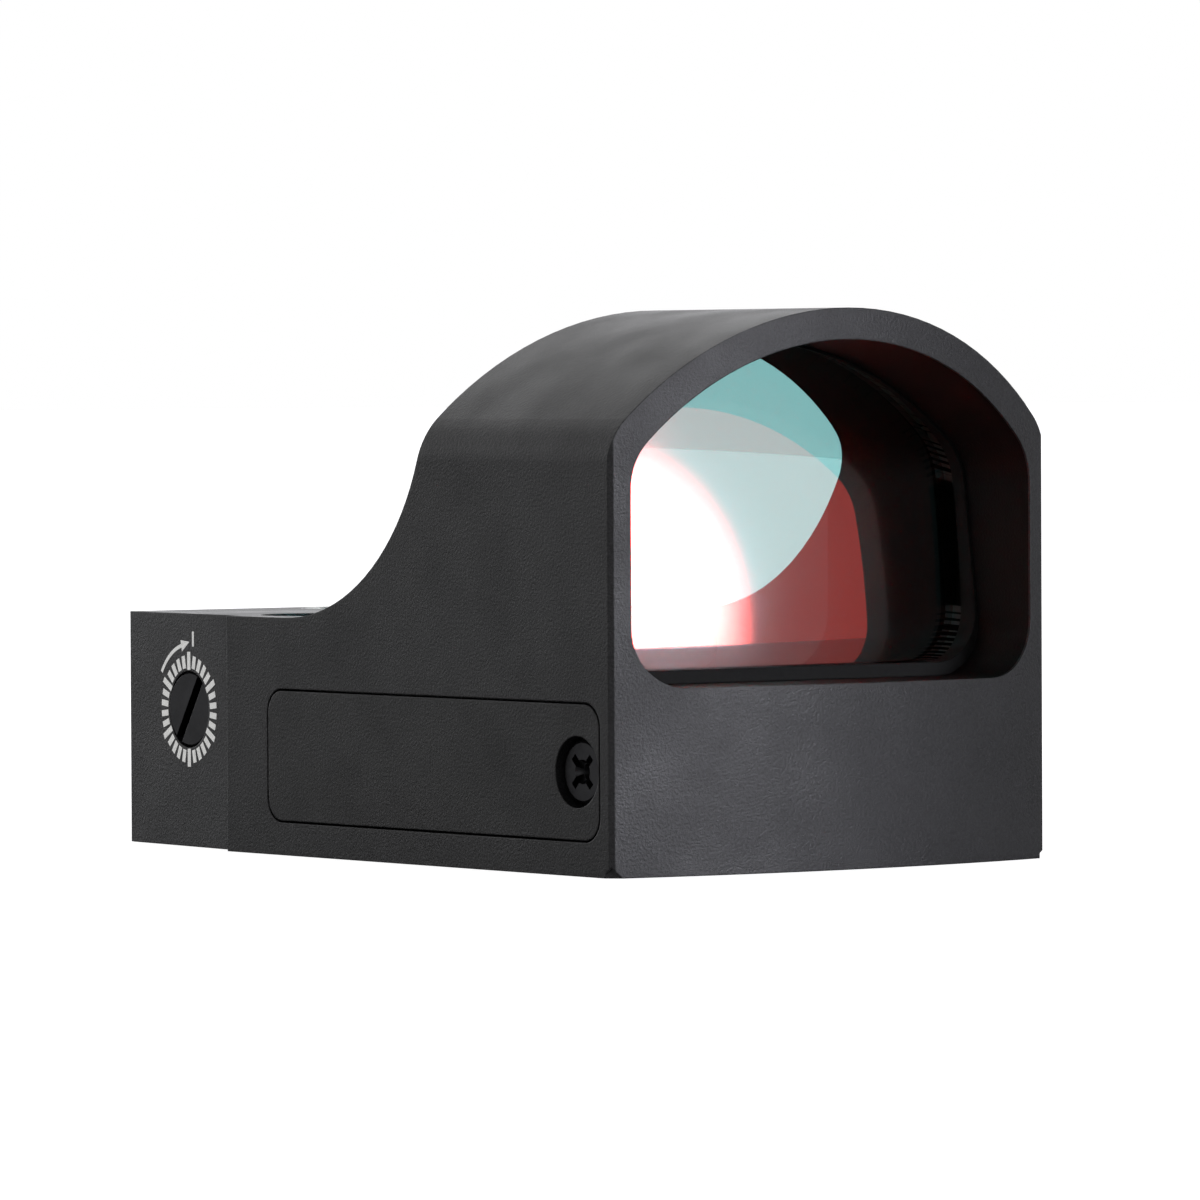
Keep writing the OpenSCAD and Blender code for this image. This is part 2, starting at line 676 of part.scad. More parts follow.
module coin_cell() {
    r = cell_d / 2;
    color([0.75, 0.75, 0.76]) translate([CELL_X, CELL_Y, CELL_Z]) rotate_extrude() polygon([
        [0, 0], [r - 1.2, 0], [r - 1, 0.35], [r - 0.5, 0.35], [r, 0.8], [r, cell_t - 0.3],
        [r - 0.3, cell_t], [0, cell_t]
    ]);
}

// Leaf from the board up the far wall, under the roof and down onto the cell
module positive_contact() {
    y0 = CELL_Y - CONTACT_W / 2;
    leg_x = [CAVITY_X - 0.02 - LEAF_T, CAVITY_X - 0.02];
    roof_z = CAVITY_Z[1] - 0.02;
    touch_z = CELL_Z + cell_t + 0.02;
    color([0.8, 0.65, 0.3]) along_y(y0, y0 + CONTACT_W) polygon([
        [leg_x[0], BOARD_Z[1]], [leg_x[0], roof_z - LEAF_T], [3, roof_z - LEAF_T],
        [0.2, touch_z], [-0.6, touch_z], [-1.6, touch_z + 0.6], [-1.7, touch_z + 0.7],
        [-0.65, touch_z + LEAF_T], [0.15, touch_z + LEAF_T], [2.95, roof_z], [leg_x[1], roof_z],
        [leg_x[1], BOARD_Z[1]]
    ]);
}

// Arched leaf soldered to the board, under the cell
module negative_contact() {
    y0 = CELL_Y - CONTACT_W / 2;
    low = BOARD_Z[1];
    top = CELL_Z - 0.02;
    color([0.8, 0.65, 0.3]) along_y(y0, y0 + CONTACT_W) polygon([
        [-5, low], [-3.5, low], [-1, top - LEAF_T], [1, top - LEAF_T], [3.5, low], [5, low],
        [5, low + LEAF_T], [3.6, low + LEAF_T], [1.1, top], [-1.1, top],
        [-3.6, low + LEAF_T], [-5, low + LEAF_T]
    ]);
}

// ---- brightness buttons ----

module switch_board() {
    color([0.05, 0.25, 0.12])
        block([SWITCH_X[0] + 0.03, BUTTON_Y[0] - 3.2, BOARD_Z[1] + 0.05],
            [SWITCH_X[1], BUTTON_Y[1] + 3.2, 8.3]);
}

// A rubber button: a flange behind the wall, a domed cap with a raised bar or cross
module button(y, cross) {
    cap_x = HALF_W - 0.25;
    color([0.08, 0.08, 0.08]) translate([0, y, BUTTON_Z]) {
        rotate([0, 90, 0]) rotate_extrude() polygon([
            [0, SWITCH_X[3]], [BUTTON_FLANGE_R, SWITCH_X[3]], [BUTTON_FLANGE_R, SWITCH_X[4] - 0.02],
            [BUTTON_R, SWITCH_X[4] - 0.02], [BUTTON_R, cap_x - 0.3], [BUTTON_R - 0.3, cap_x],
            [0, cap_x]
        ]);
        block([cap_x - 0.1, -1.3, -0.25], [HALF_W - 0.05, 1.3, 0.25]);
        if (cross) block([cap_x - 0.1, -0.25, -1.3], [HALF_W - 0.05, 0.25, 1.3]);
    }
}

module up_button() {
    button(BUTTON_Y[1], true);
}

module down_button() {
    button(BUTTON_Y[0], false);
}

module switch_can(y) {
    color([0.6, 0.6, 0.6]) difference() {
        block([SWITCH_X[1], y - 1.75, BUTTON_Z - 1.5], [SWITCH_X[2], y + 1.75, BUTTON_Z + 1.5]);
        translate([SWITCH_X[1] + 0.15, y, BUTTON_Z]) rotate([0, 90, 0])
            cylinder(r = SWITCH_WELL_R, h = 2);
    }
}

module switch_plunger(y) {
    color([0.1, 0.1, 0.1]) translate([SWITCH_X[2] - 0.2, y, BUTTON_Z]) rotate([0, 90, 0])
        cylinder(r = PLUNGER_R, h = SWITCH_X[3] - SWITCH_X[2] + 0.2);
}

module up_switch() {
    switch_can(BUTTON_Y[1]);
}

module down_switch() {
    switch_can(BUTTON_Y[0]);
}

module up_plunger() {
    switch_plunger(BUTTON_Y[1]);
}

module down_plunger() {
    switch_plunger(BUTTON_Y[0]);
}

// ---- adjusters ----

module windage_screw() {
    color([0.1, 0.1, 0.1]) at_windage() rotate([0, 0, 90 + slot_lean])
        adjuster(WINDAGE_L, WINDAGE_CLIP_L);
}

module windage_o_ring() {
    color([0.05, 0.05, 0.05]) at_windage() adjuster_o_ring();
}

module windage_click_ball() {
    color([0.7, 0.7, 0.7]) at_windage() rotate([0, 0, 90 + slot_lean]) adjuster_ball();
}

module windage_click_spring() {
    color([0.7, 0.7, 0.7]) at_windage() rotate([0, 0, 90 + slot_lean]) adjuster_ball_spring();
}

module windage_clip() {
    color([0.6, 0.6, 0.6]) at_windage() adjuster_clip(WINDAGE_CLIP_L);
}

module windage_return_spring() {
    color([0.7, 0.7, 0.7]) translate([CARRIAGE_X, WINDAGE_YZ[0], SIDE_SPRING_Z])
        rotate([0, 90, 0]) coil(0.85, 0.14, SIDE_SPRING_END - CARRIAGE_X, 5);
}

module elevation_screw() {
    color([0.1, 0.1, 0.1]) at_elevation() adjuster(ELEVATION_L, ELEVATION_CLIP_L);
}

module elevation_o_ring() {
    color([0.05, 0.05, 0.05]) at_elevation() adjuster_o_ring();
}

module elevation_click_ball() {
    color([0.7, 0.7, 0.7]) at_elevation() adjuster_ball();
}

module elevation_click_spring() {
    color([0.7, 0.7, 0.7]) at_elevation() adjuster_ball_spring();
}

module elevation_clip() {
    color([0.6, 0.6, 0.6]) at_elevation() adjuster_clip(ELEVATION_CLIP_L);
}

// Square nut that rides in the block's slot, so that the block can still move along X
module elevation_nut() {
    color([0.8, 0.65, 0.3]) difference() {
        block([-NUT_HALF, ELEVATION_Y - NUT_HALF, NUT_Z[0]],
            [NUT_HALF, ELEVATION_Y + NUT_HALF, NUT_Z[1]]);
        translate([0, ELEVATION_Y, 0]) cylinder(r = SHANK_R + running_gap, h = 12);
    }
}

module elevation_return_spring() {
    color([0.7, 0.7, 0.7]) translate(LIFT_SPRING)
        coil(0.52, 0.1, LIFT_SPRING_TOP - LIFT_SPRING[2], 6);
}

// ---- emitter stage ----

module windage_carriage() {
    rib = 0.4;
    color([0.75, 0.6, 0.3]) difference() {
        union() {
            block([-CARRIAGE_X, CARRIAGE_Y[0], CARRIAGE_Z[0]],
                [CARRIAGE_X, CARRIAGE_Y[1], CARRIAGE_Z[1]]);
            for (side = [0, 1]) mirror([side, 0, 0]) {
                block([CARRIAGE_IN, CARRIAGE_Y[0], CARRIAGE_Z[1] - 0.5],
                    [CARRIAGE_X, CARRIAGE_Y[1], CARRIAGE_Z[2]]);
                block([CARRIAGE_IN - rib, 16.8, CARRIAGE_Z[1] - 0.5],
                    [CARRIAGE_IN + 0.5, 17.3, CARRIAGE_Z[2]]);
            }
        }
        for (y = GUIDE_Y) translate([-10, y, GUIDE_Z]) rotate([0, 90, 0])
            cylinder(r = GUIDE_R + running_gap, h = 20);
        translate([-6, WINDAGE_YZ[0], WINDAGE_YZ[1]]) rotate([0, 90, 0])
            cylinder(r = SHANK_R + running_gap, h = 4);
    }
}

module guide_pins() {
    color([0.7, 0.7, 0.7]) for (y = GUIDE_Y)
        translate([-7.45, y, GUIDE_Z]) rotate([0, 90, 0]) cylinder(r = GUIDE_R, h = 14.9);
}

module emitter_block() {
    slot_x = TRAVEL + 0.1;
    color([0.2, 0.2, 0.2]) difference() {
        union() {
            block([-BLOCK_X, BLOCK_Y[0], BLOCK_Z[0]], [BLOCK_X, BLOCK_Y[1], BLOCK_Z[2]]);
            block([-BLOCK_X, BLOCK_Y[1] - 0.5, BLOCK_Z[0]], [BLOCK_X, BLOCK_Y[2], BLOCK_Z[1]]);
        }
        // slot for the nut, open at the back, and for the screw
        block([-NUT_HALF - slot_x, ELEVATION_Y - NUT_HALF - 0.05, NUT_Z[0] - 0.04],
            [NUT_HALF + slot_x, BLOCK_Y[2] + 1, NUT_Z[1] + 0.04]);
        for (side = [-1, 1]) translate([side * slot_x, ELEVATION_Y, 0])
            cylinder(r = SHANK_R + running_gap, h = 12);
        block([-slot_x, ELEVATION_Y - SHANK_R - running_gap, 0],
            [slot_x, ELEVATION_Y + SHANK_R + running_gap, 12]);
        translate([LIFT_SPRING[0], LIFT_SPRING[1], 0])
            cylinder(r = 0.7, h = LIFT_SPRING_TOP + 0.02);
        for (side = [0, 1]) mirror([side, 0, 0])
            block([BLOCK_X - 0.35, 16.74, 0], [BLOCK_X + 1, 17.36, 12]);
    }
}

module emitter_led() {
    color([0.9, 0.2, 0.15]) {
        block([-0.8, LED_YZ[0] - 0.4, LED_YZ[1] - 0.5], [0.8, LED_YZ[0], LED_YZ[1] + 0.5]);
        translate([0, LED_YZ[0] - 0.4, LED_YZ[1]]) sphere(0.3);
    }
}

module led_flex() {
    color([0.7, 0.45, 0.15]) block([-1.5, LED_YZ[0], 2.6], [1.5, BLOCK_Y[0], BLOCK_Z[2] - 0.05]);
}

// Puts the origin under the middle of the whole length, bulge included
module centred() {
    translate([0, front_bow / 2, 0]) children();
}

centred() housing();
centred() lens_front_glass();
centred() lens_rear_glass();
centred() lens_seal();
centred() emitter_window();
centred() base_cover();
centred() base_gasket();
centred() base_screws();
centred() battery_door();
centred() battery_tray();
centred() door_gasket();
centred() door_screw();
centred() coin_cell();
centred() positive_contact();
centred() negative_contact();
centred() circuit_board();
centred() controller_chip();
centred() board_components();
centred() switch_board();
centred() up_button();
centred() down_button();
centred() up_switch();
centred() down_switch();
centred() up_plunger();
centred() down_plunger();
centred() windage_screw();
centred() windage_o_ring();
centred() windage_click_ball();
centred() windage_click_spring();
centred() windage_clip();
centred() windage_return_spring();
centred() elevation_screw();
centred() elevation_o_ring();
centred() elevation_click_ball();
centred() elevation_click_spring();
centred() elevation_clip();
centred() elevation_nut();
centred() elevation_return_spring();
centred() windage_carriage();
centred() guide_pins();
centred() emitter_block();
centred() emitter_led();
centred() led_flex();
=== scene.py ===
import math

import bmesh
import bpy
from mathutils import Matrix, Vector


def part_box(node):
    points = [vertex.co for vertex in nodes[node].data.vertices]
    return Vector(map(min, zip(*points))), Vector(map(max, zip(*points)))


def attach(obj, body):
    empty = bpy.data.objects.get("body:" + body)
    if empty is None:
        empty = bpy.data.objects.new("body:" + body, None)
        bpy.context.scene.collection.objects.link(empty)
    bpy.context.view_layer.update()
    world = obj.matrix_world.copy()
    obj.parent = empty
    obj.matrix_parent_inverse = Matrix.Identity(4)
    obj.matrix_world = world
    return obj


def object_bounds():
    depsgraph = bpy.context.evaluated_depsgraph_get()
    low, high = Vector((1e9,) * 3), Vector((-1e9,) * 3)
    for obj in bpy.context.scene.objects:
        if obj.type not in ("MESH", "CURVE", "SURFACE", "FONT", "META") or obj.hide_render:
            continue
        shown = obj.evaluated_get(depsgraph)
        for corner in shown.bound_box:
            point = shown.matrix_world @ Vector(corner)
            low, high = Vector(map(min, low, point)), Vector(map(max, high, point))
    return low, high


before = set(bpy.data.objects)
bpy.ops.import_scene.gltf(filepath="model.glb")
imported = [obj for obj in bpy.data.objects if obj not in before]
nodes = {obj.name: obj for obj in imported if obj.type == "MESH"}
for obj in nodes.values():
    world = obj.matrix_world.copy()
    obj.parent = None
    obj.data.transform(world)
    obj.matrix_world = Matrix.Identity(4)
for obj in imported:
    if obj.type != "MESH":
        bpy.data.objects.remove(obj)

MM = 0.001
cad_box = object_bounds()

# ---- view: where the camera stands, and its lens ----
VIEW_TURN = math.radians(37.0)  # from the front face's normal, towards the battery door
VIEW_DOWN = math.radians(1.47)
VIEW_ROLL = math.radians(-0.27)
VIEW_DISTANCE = 424 * MM  # to the foot of the near front corner
FOCAL = 256.8
SENSOR = 36
CORNER_RIGHT = 0.56 * MM  # where that corner stands in the view, from its middle
CORNER_DOWN = 13.82 * MM

# ---- body: sizes that the painted shade, the lens and the dials are placed by ----
BODY_HALF = cad_box[1][0]
BODY_TOP = cad_box[1][2]
FRONT_BOW = 1.6 * MM  # how far the front bulges ahead of its corners
BOW_R = 62 * MM  # radius of that bulge, seen from above
TOP_RIM = 1.6 * MM
WINDOW_ARC_R = 16.6 * MM
WINDOW_ARC_Z = BODY_TOP - TOP_RIM - WINDOW_ARC_R
WINDOW_HALF = BODY_HALF - 1.14 * MM
SILL_Z = 9.4 * MM
TUNNEL_END = -4 * MM  # y up to which painted shade darkens the window's tunnel to near black
TUNNEL_START = 0.15 * MM  # how far behind the front face that painted shade starts
SHADE_SLACK = 0.05 * MM  # how far the painted shade reaches into the window's walls
REAR_STEP = 0.84 * MM  # how far the rear part's side stands in from the body's side
REAR_START_Y = 11.8 * MM
REAR_SLOPE = 0.8 / 11.5  # how that side leans in towards the rear
DECK_Z = 12.4 * MM

# ---- lens: two bonded halves on one tilted axis ----
LENS_TILT = math.radians(7.7)
LENS_MIDDLE = Vector((0, cad_box[0][1] + FRONT_BOW + 6 * MM, 18.4 * MM))
LENS_AXIS = Vector((0, math.cos(LENS_TILT), -math.sin(LENS_TILT)))
MIRROR_R = 62 * MM  # radius of the bonded, coated face
FRONT_CENTRE = MIRROR_R + 0.4 * MM  # how far behind the lens's middle the centres of its
REAR_CENTRE = MIRROR_R + 0.2 * MM  # outer faces lie
GLASS_IOR = 1.5
MIRROR_SHARE = 0.45  # share of plain glass's mirroring that its anti-reflex layer leaves
HAZE_SHARE = 0.03


# ---- small helpers ----

def srgb(r, g, b):
    """Linear colour from display values of 0 to 255."""
    return tuple((c / 255 / 12.92 if c < 10.3 else ((c / 255 + 0.055) / 1.055) ** 2.4)
                 for c in (r, g, b)) + (1.0,)


class Shader:
    """A material or a world under construction: makes nodes and joins them."""

    def __init__(self, name, kind="materials"):
        self.made = getattr(bpy.data, kind).new(name)
        self.made.use_nodes = True
        self.tree = self.made.node_tree
        self.tree.nodes.clear()
        self.out = self.node("ShaderNodeOutputWorld" if kind == "worlds"
                             else "ShaderNodeOutputMaterial")

    def node(self, kind, **settings):
        made = self.tree.nodes.new(kind)
        for key, value in settings.items():
            if hasattr(made, key):
                setattr(made, key, value)
            else:
                made.inputs[key].default_value = value
        return made

    def link(self, source, target):
        self.tree.links.new(source, target)

    def put(self, value, target):
        """Joins a socket, or sets a plain value."""
        if hasattr(value, "is_linked"):
            self.link(value, target)
        else:
            target.default_value = value

    def math(self, operation, first, second=0.0):
        made = self.node("ShaderNodeMath", operation=operation)
        self.put(first, made.inputs[0])
        self.put(second, made.inputs[1])
        return made.outputs["Value"]

    def dot(self, vector, axis):
        made = self.node("ShaderNodeVectorMath", operation="DOT_PRODUCT")
        self.link(vector, made.inputs[0])
        made.inputs[1].default_value = axis
        return made.outputs["Value"]

    def mix(self, factor, first, second):
        made = self.node("ShaderNodeMixShader")
        self.put(factor, made.inputs["Fac"])
        self.link(first, made.inputs[1])
        self.link(second, made.inputs[2])
        return made.outputs["Shader"]

    def surface(self, kind, colour, **inputs):
        made = self.node(kind)
        made.inputs["Color"].default_value = colour
        for key, value in inputs.items():
            self.put(value, made.inputs[key])
        return made.outputs[0]

    def ball_normal(self, centre):
        """The exact normal of a sphere round centre, on the side that is looked at."""
        spoke = self.node("ShaderNodeVectorMath", operation="SUBTRACT")
        self.link(self.place(), spoke.inputs[0])
        spoke.inputs[1].default_value = centre
        unit = self.node("ShaderNodeVectorMath", operation="NORMALIZE")
        self.link(spoke.outputs["Vector"], unit.inputs[0])
        facing = self.node("ShaderNodeVectorMath", operation="DOT_PRODUCT")
        self.link(unit.outputs["Vector"], facing.inputs[0])
        self.link(self.node("ShaderNodeNewGeometry").outputs["Incoming"], facing.inputs[1])
        turned = self.node("ShaderNodeVectorMath", operation="SCALE")
        self.link(unit.outputs["Vector"], turned.inputs[0])
        self.put(self.math("SIGN", facing.outputs["Value"]), turned.inputs["Scale"])
        return turned.outputs["Vector"]

    def seen_straight(self):
        """1 where the camera looks directly or only through glass, else 0."""
        path = self.node("ShaderNodeLightPath").outputs
        bounced = self.math("ADD", path["Glossy Depth"], path["Diffuse Depth"])
        through = self.math("MULTIPLY", path["Is Transmission Ray"],
                            self.math("LESS_THAN", bounced, 0.5))
        return self.math("MAXIMUM", path["Is Camera Ray"], through)

    def place(self):
        """Coordinates in metres in the row frame."""
        return self.node("ShaderNodeTexCoord").outputs["Object"]

    def noise(self, scale, detail=2.0, rough=0.5, source=None):
        made = self.node("ShaderNodeTexNoise")
        made.inputs["Scale"].default_value = scale
        made.inputs["Detail"].default_value = detail
        made.inputs["Roughness"].default_value = rough
        self.link(source or self.place(), made.inputs["Vector"])
        return made.outputs["Fac"]

    def ramp(self, source, low, high, start=0.0, end=1.0, kind="LINEAR"):
        """Maps source from start..end to low..high, clamped."""
        made = self.node("ShaderNodeMapRange", interpolation_type=kind)
        self.link(source, made.inputs["Value"])
        for name, value in (("From Min", start), ("From Max", end),
                            ("To Min", low), ("To Max", high)):
            made.inputs[name].default_value = value
        return made.outputs["Result"]

    def blend_colour(self, factor, low, high):
        made = self.node("ShaderNodeMix", data_type="RGBA")
        self.link(factor, made.inputs["Factor"])
        made.inputs[6].default_value = low
        made.inputs[7].default_value = high
        return made.outputs[2]

    def bump(self, height, depth, strength=1.0, normal=None):
        made = self.node("ShaderNodeBump")
        made.inputs["Distance"].default_value = depth
        made.inputs["Strength"].default_value = strength
        self.link(height, made.inputs["Height"])
        if normal is not None:
            self.link(normal, made.inputs["Normal"])
        return made.outputs["Normal"]

    def soft_edges(self, radius):
        made = self.node("ShaderNodeBevel", samples=4)
        made.inputs["Radius"].default_value = radius
        return made.outputs["Normal"]

    def principled(self, **inputs):
        made = self.node("ShaderNodeBsdfPrincipled")
        for key, value in inputs.items():
            self.put(value, made.inputs[key.replace("_", " ")])
        return made.outputs["BSDF"]

    def finish(self, surface):
        self.link(surface, self.out.inputs["Surface"])
        return self.made


# ---- materials ----

def anodised(name, dark, light, gloss, edge=0.1 * MM, inside=None):
    """Bead-blasted, black anodised alloy: a fine grain of pits, with slight cloudiness.
    inside(shader) gives the mask where near-black painted shade darkens the alloy."""
    s = Shader(name)
    grain = s.noise(7000, 3.0, 0.65)
    cloud = s.noise(260, 2.0, 0.5)
    colour = s.blend_colour(s.ramp(grain, 0, 1, 0.35, 0.75), dark, light)
    rough = s.ramp(cloud, gloss - 0.04, gloss + 0.06, 0.3, 0.7)
    normal = s.bump(grain, 0.03 * MM, 0.9, s.soft_edges(edge))
    alloy = s.principled(Base_Color=colour, Roughness=rough, Metallic=0.0,
                         Specular_IOR_Level=0.5, Normal=normal)
    if inside is None:
        return s.finish(alloy)
    # painted shade: a near-black, duller copy of the alloy, put where the window's tunnel lies
    # in shade
    tunnel_painted_shade = s.principled(Base_Color=s.blend_colour(grain, srgb(6, 6, 6), srgb(20, 20, 20)),
                              Roughness=0.6, Specular_IOR_Level=0.12, Normal=normal)
    return s.finish(s.mix(inside(s), alloy, tunnel_painted_shade))


def in_window(s):
    """1 inside the window's tunnel ahead of the deck, where painted shade darkens the alloy,
    else 0.
    """
    place = s.place()
    x, y, z = (s.dot(place, axis) for axis in ((1, 0, 0), (0, 1, 0), (0, 0, 1)))
    up = s.math("SUBTRACT", z, WINDOW_ARC_Z)
    aside = s.math("MULTIPLY", x, x)
    radius = s.math("SQRT", s.math("ADD", aside, s.math("MULTIPLY", up, up)))
    depth = s.math("SUBTRACT", y, s.math("MULTIPLY", aside, 0.5 / BOW_R))
    tests = [s.math("LESS_THAN", radius, WINDOW_ARC_R + SHADE_SLACK),
             s.math("LESS_THAN", s.math("ABSOLUTE", x), WINDOW_HALF + SHADE_SLACK),
             s.math("GREATER_THAN", z, SILL_Z - SHADE_SLACK),
             s.math("GREATER_THAN", depth, cad_box[0][1] + TUNNEL_START),
             s.math("LESS_THAN", y, TUNNEL_END)]
    result = tests[0]
    for test in tests[1:]:
        result = s.math("MULTIPLY", result, test)
    return result


def metal(name, tint, rough, edge=0.03 * MM):
    """Bare or plated metal with fine tool marks."""
    s = Shader(name)
    grain = s.noise(4000, 2.0, 0.6)
    cloud = s.noise(700, 2.0, 0.5)
    darker = tuple(c * 0.8 for c in tint[:3]) + (1.0,)
    colour = s.blend_colour(s.ramp(cloud, 0, 1, 0.35, 0.65), darker, tint)
    roughness = s.ramp(grain, rough * 0.8, rough * 1.2, 0.3, 0.7)
    normal = s.bump(grain, 0.004 * MM, 0.4, s.soft_edges(edge))
    return s.finish(s.principled(Base_Color=colour, Metallic=1.0, Roughness=roughness,
                                 Normal=normal))


def moulded(name, tint, rough, sheen=0.5, grain_scale=3000, depth=0.01, edge=0.08 * MM):
    """Plastic or rubber with a fine moulded texture."""
    s = Shader(name)
    grain = s.noise(grain_scale, 3.0, 0.6)
    lighter = tuple(min(1.0, c * 1.35 + 0.004) for c in tint[:3]) + (1.0,)
    colour = s.blend_colour(s.ramp(grain, 0, 1, 0.35, 0.7), tint, lighter)
    roughness = s.ramp(grain, rough - 0.05, rough + 0.07, 0.3, 0.7)
    normal = s.bump(grain, depth * MM, 0.6, s.soft_edges(edge))
    return s.finish(s.principled(Base_Color=colour, Roughness=roughness,
                                 Specular_IOR_Level=sheen, Normal=normal))


def clear_glass(name, tint):
    """Thin clear glass: see-through with a faint mirror sheen and faint dust."""
    s = Shader(name)
    clear = s.surface("ShaderNodeBsdfTransparent", tint)
    mirror = s.surface("ShaderNodeBsdfGlossy", (1, 1, 1, 1), Roughness=0.0)
    facing = s.node("ShaderNodeFresnel", IOR=1.45).outputs["Fac"]
    dust = s.ramp(s.noise(900, 3.0, 0.6), 0.9, 1.1, 0.3, 0.7)
    return s.finish(s.mix(s.math("MULTIPLY", facing, dust), clear, mirror))


def lens_glass(name, outer, outer_centre, coating=None):
    """One half of the bonded lens. Its outer face (outer is -1 for the front, 1 for the back)
    bends light and mirrors a little; its bonded face is clear, or carries the coating:
    (mirrored colour, passed colour). Its edge is blackened. The faces are spheres whose
    centres lie on the lens's axis; outer_centre is how far behind its middle."""
    s = Shader(name)
    shape = s.node("ShaderNodeNewGeometry").outputs
    along = s.dot(shape["True Normal"], (0, 1, 0))
    outward = s.math("MULTIPLY", along, s.ramp(shape["Backfacing"], 1.0, -1.0))
    is_edge = s.math("LESS_THAN", s.math("ABSOLUTE", along), 0.5)
    is_outer = s.math("GREATER_THAN", s.math("MULTIPLY", outward, outer), 0.0)

    normal = s.ball_normal(LENS_MIDDLE + outer_centre * LENS_AXIS)
    bent = s.surface("ShaderNodeBsdfRefraction", (1, 1, 1, 1), Roughness=0.0, IOR=GLASS_IOR,
                     Normal=normal)
    clear = s.surface("ShaderNodeBsdfTransparent", (1, 1, 1, 1))
    path = s.node("ShaderNodeLightPath").outputs
    lighting = s.math("MAXIMUM", path["Is Shadow Ray"], path["Is Diffuse Ray"])
    mirror = s.surface("ShaderNodeBsdfGlossy", (1, 1, 1, 1), Roughness=0.0, Normal=normal)
    facing = s.node("ShaderNodeFresnel", IOR=GLASS_IOR)
    s.link(normal, facing.inputs["Normal"])
    facing = facing.outputs["Fac"]
    haze = s.surface("ShaderNodeBsdfGlossy", (1, 0.97, 1, 1), Roughness=0.19, Normal=normal)
    haze.node.distribution = "BECKMANN"
    dust = s.ramp(s.noise(420, 3.0, 0.6), 0.85, 1.15, 0.3, 0.7)
    outer_face = s.mix(s.math("MULTIPLY", facing, MIRROR_SHARE),
                       s.mix(lighting, bent, clear), mirror)
    outer_face = s.mix(s.math("MULTIPLY", dust, HAZE_SHARE), outer_face, haze)

    if coating is None:
        bonded_face = clear
    else:
        adds = s.node("ShaderNodeAddShader")
        bonded_normal = s.ball_normal(LENS_MIDDLE + MIRROR_R * LENS_AXIS)
        s.link(s.surface("ShaderNodeBsdfGlossy", coating[0], Roughness=0.0,
                         Normal=bonded_normal), adds.inputs[0])
        s.link(s.surface("ShaderNodeBsdfTransparent", coating[1]), adds.inputs[1])
        bonded_face = adds.outputs["Shader"]
    edge = s.principled(Base_Color=srgb(12, 12, 13), Roughness=0.8, Specular_IOR_Level=0.0)
    faces = s.mix(is_outer, bonded_face, outer_face)
    return s.finish(s.mix(is_edge, faces, edge))


def paint(name, tint):
    """Thick marking paint in an engraved line, slightly uneven, with a faint painted glow."""
    s = Shader(name)
    grain = s.noise(5000, 2.0, 0.5)
    darker = tuple(c * 0.78 for c in tint[:3]) + (1.0,)
    colour = s.blend_colour(s.ramp(grain, 0, 1, 0.3, 0.7), darker, tint)
    # painted light: a faint emission makes the white marks brighter than the lamps alone light
    # them
    return s.finish(s.principled(Base_Color=colour, Roughness=0.55, Emission_Color=tint,
                                 Emission_Strength=0.3, Normal=s.bump(grain, 0.006 * MM, 0.5)))


# the housing's alloy, with painted shade inside the window's tunnel
ALLOY = anodised("black_anodised_alloy", srgb(16, 16, 18), srgb(42, 41, 44), 0.42,
                 inside=in_window)
DOOR = anodised("black_anodised_door", srgb(14, 14, 15), srgb(34, 33, 35), 0.44)
BLACK_STEEL = metal("blackened_steel", srgb(60, 60, 62), 0.38)
BARE_STEEL = metal("ground_steel", srgb(190, 190, 193), 0.2)
SPRING = metal("spring_wire", srgb(170, 170, 175), 0.25)
CELL = metal("nickel_plate", srgb(205, 205, 207), 0.22)
BRASS = metal("machined_brass", srgb(212, 178, 110), 0.3)
GOLD = metal("gold_plate", srgb(235, 195, 110), 0.22)
SEAL = moulded("cured_sealant", srgb(12, 12, 12), 0.6, 0.15, 1500, 0.03)
RUBBER = moulded("button_rubber", srgb(26, 26, 27), 0.7, 0.3, 2500, 0.02)
POLYMER = moulded("tray_polymer", srgb(24, 24, 26), 0.55, 0.4, 3500, 0.012)
BOARD = moulded("solder_resist", srgb(16, 92, 48), 0.28, 0.5, 1800, 0.004)
FLEX = moulded("amber_film", srgb(196, 128, 40), 0.3, 0.5, 1500, 0.004)
CHIP = moulded("chip_epoxy", srgb(22, 22, 24), 0.5, 0.4, 5000, 0.006)
CERAMIC = moulded("component_ceramic", srgb(150, 120, 92), 0.5, 0.4, 4000, 0.006)
LED = moulded("red_epoxy", srgb(205, 48, 40), 0.12, 0.6, 1200, 0.002)
COATED = lens_glass("coated_front_glass", -1, FRONT_CENTRE,
                    ((0.76, 0.06, 0.045, 1), (0.23, 0.51, 0.51, 1)))
GLASS = lens_glass("clear_rear_glass", 1, REAR_CENTRE)
PANE = clear_glass("emitter_pane", (0.95, 0.97, 0.98, 1))
WHITE = paint("white_marking_paint", srgb(246, 246, 244))

